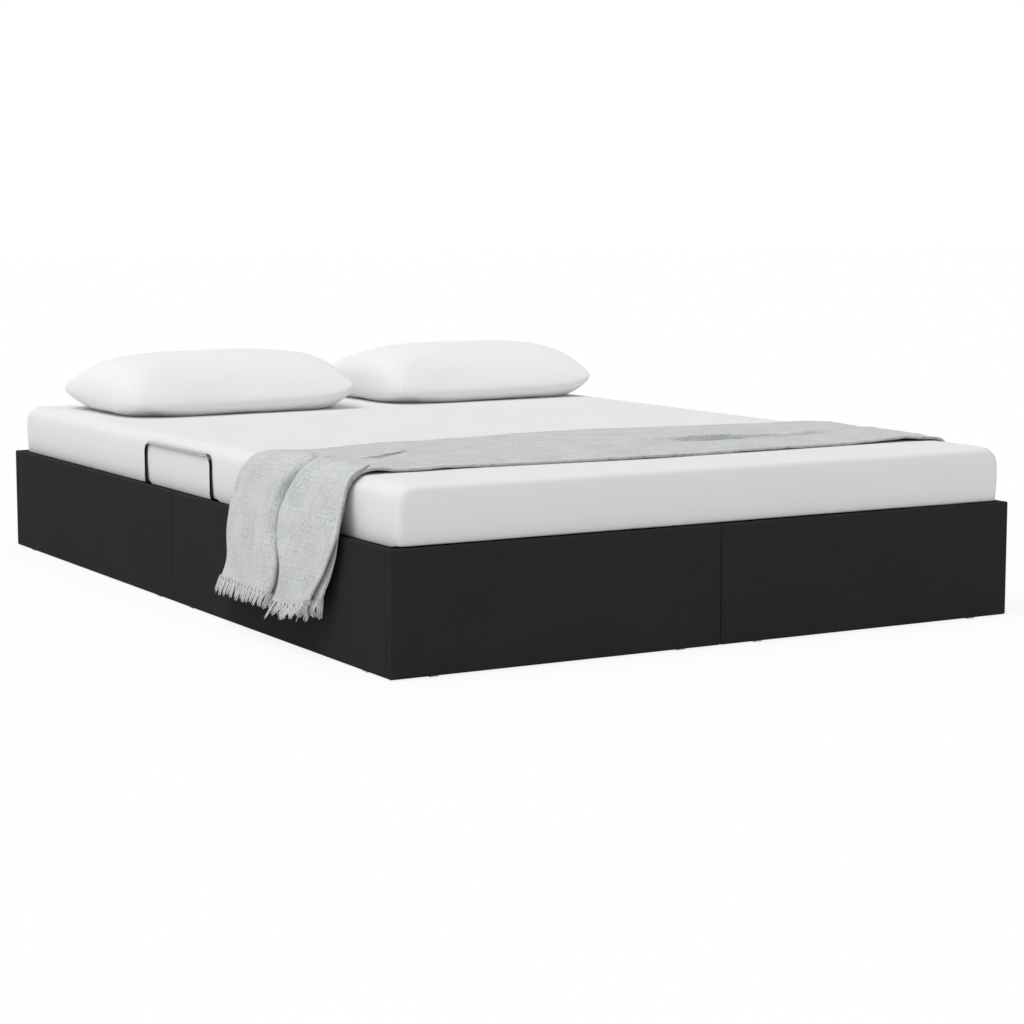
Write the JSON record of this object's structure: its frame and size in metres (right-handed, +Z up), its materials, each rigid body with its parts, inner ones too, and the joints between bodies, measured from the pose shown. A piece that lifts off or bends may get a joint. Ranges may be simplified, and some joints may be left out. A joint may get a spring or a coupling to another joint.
{
  "type": "ottoman bed",
  "caption": "Low upholstered storage bed: the slatted platform lifts at its foot end on gas struts, and carries a mattress held by bent-rod retainers, pillows and a fringed throw.",
  "frame": {"origin": "on the floor, under the middle of the bed", "axes": "X across the bed, +Y to the head end, +Z up"},
  "size_m": [1.491, 2.03, 0.4878],
  "materials": {
    "panel_fabric": "fine charcoal weave",
    "board": "plain board",
    "steel_plate": "satin",
    "bolt": "zinc plated",
    "glide": "matt",
    "floor_sheet": "dark hardboard",
    "batten": "planed softwood",
    "rubber_pad": "matt",
    "black_plastic": "matt",
    "slat": "birch plywood",
    "strut_rod": "polished",
    "strut_body": "gloss",
    "retainer_rod": "gloss",
    "tube_steel": "satin",
    "lift_steel": "satin",
    "mattress_fabric": "smooth white cover",
    "pillow_fabric": "white cotton",
    "throw_fabric": "coarse light grey weave"
  },
  "bodies": {
    "base": {"centre_board": "board", "corner_brackets": "steel_plate", "floor_battens": "batten", "floor_glides": "glide", "floor_sheets": "floor_sheet", "foot_panel_left_board": "board", "foot_panel_left_cover": "panel_fabric", "foot_panel_right_board": "board", "foot_panel_right_cover": "panel_fabric", "frame_bolts": "bolt", "head_panel_left_board": "board", "head_panel_left_cover": "panel_fabric", "head_panel_right_board": "board", "head_panel_right_cover": "panel_fabric", "ledger_battens": "batten", "left_base_plate": "lift_steel", "left_side_panel_foot_board": "board", "left_side_panel_foot_cover": "panel_fabric", "left_side_panel_head_board": "board", "left_side_panel_head_cover": "panel_fabric", "rest_pads": "rubber_pad", "right_base_plate": "lift_steel", "right_side_panel_foot_board": "board", "right_side_panel_foot_cover": "panel_fabric", "right_side_panel_head_board": "board", "right_side_panel_head_cover": "panel_fabric", "seam_plates": "steel_plate"},
    "long_arms": {"left_long_arm": "lift_steel", "right_long_arm": "lift_steel"},
    "platform": {"left_side_tube": "tube_steel", "right_side_tube": "tube_steel", "head_tube": "tube_steel", "foot_tube": "tube_steel", "centre_tube": "tube_steel", "tube_end_caps": "black_plastic", "left_lift_bracket": "lift_steel", "right_lift_bracket": "lift_steel", "left_slats": "slat", "right_slats": "slat", "slat_holders": "black_plastic", "left_retainer": "retainer_rod", "right_retainer": "retainer_rod", "head_retainer": "retainer_rod", "retainer_clamps": "black_plastic", "platform_bolts": "bolt", "mattress": "mattress_fabric", "left_pillow": "pillow_fabric", "right_pillow": "pillow_fabric", "throw": "throw_fabric"},
    "short_arms": {"left_short_arm": "lift_steel", "right_short_arm": "lift_steel"},
    "strut_cylinders": {"left_gas_cylinder": "strut_body", "right_gas_cylinder": "strut_body"},
    "strut_rods": {"left_gas_rod": "strut_rod", "right_gas_rod": "strut_rod"}
  },
  "joints": [
    {"name": "lift", "type": "hinge", "parent": "base", "child": "long_arms", "pos_m": [0, 0.5, 0.058], "axis": [1, 0, 0], "range_deg": [0, 60]},
    {"name": "platform_tilt", "type": "hinge", "parent": "long_arms", "child": "platform", "pos_m": [0, 0.83483, 0.11704], "axis": [1, 0, 0], "range_deg": [-98.5, 0]},
    {"name": "short_arm_swing", "type": "hinge", "parent": "base", "child": "short_arms", "pos_m": [0, 0.662, 0.184], "axis": [1, 0, 0], "range_deg": [0, 78.5]},
    {"name": "strut_cylinder_swing", "type": "hinge", "parent": "base", "child": "strut_cylinders", "pos_m": [0, 0.56, 0.045], "axis": [1, 0, 0], "range_deg": [0, 39.5]},
    {"name": "strut_rod_swing", "type": "hinge", "parent": "short_arms", "child": "strut_rods", "pos_m": [0, 0.81563, 0.10231], "axis": [1, 0, 0], "range_deg": [-39.5, 0]}
  ],
  "couplings": [
    {"joint": "platform_tilt", "follows": "lift", "ratio": -1.6333},
    {"joint": "short_arm_swing", "follows": "lift", "ratio": 1.3041},
    {"joint": "strut_cylinder_swing", "follows": "lift", "ratio": 0.6557},
    {"joint": "strut_rod_swing", "follows": "lift", "ratio": -0.6484}
  ]
}
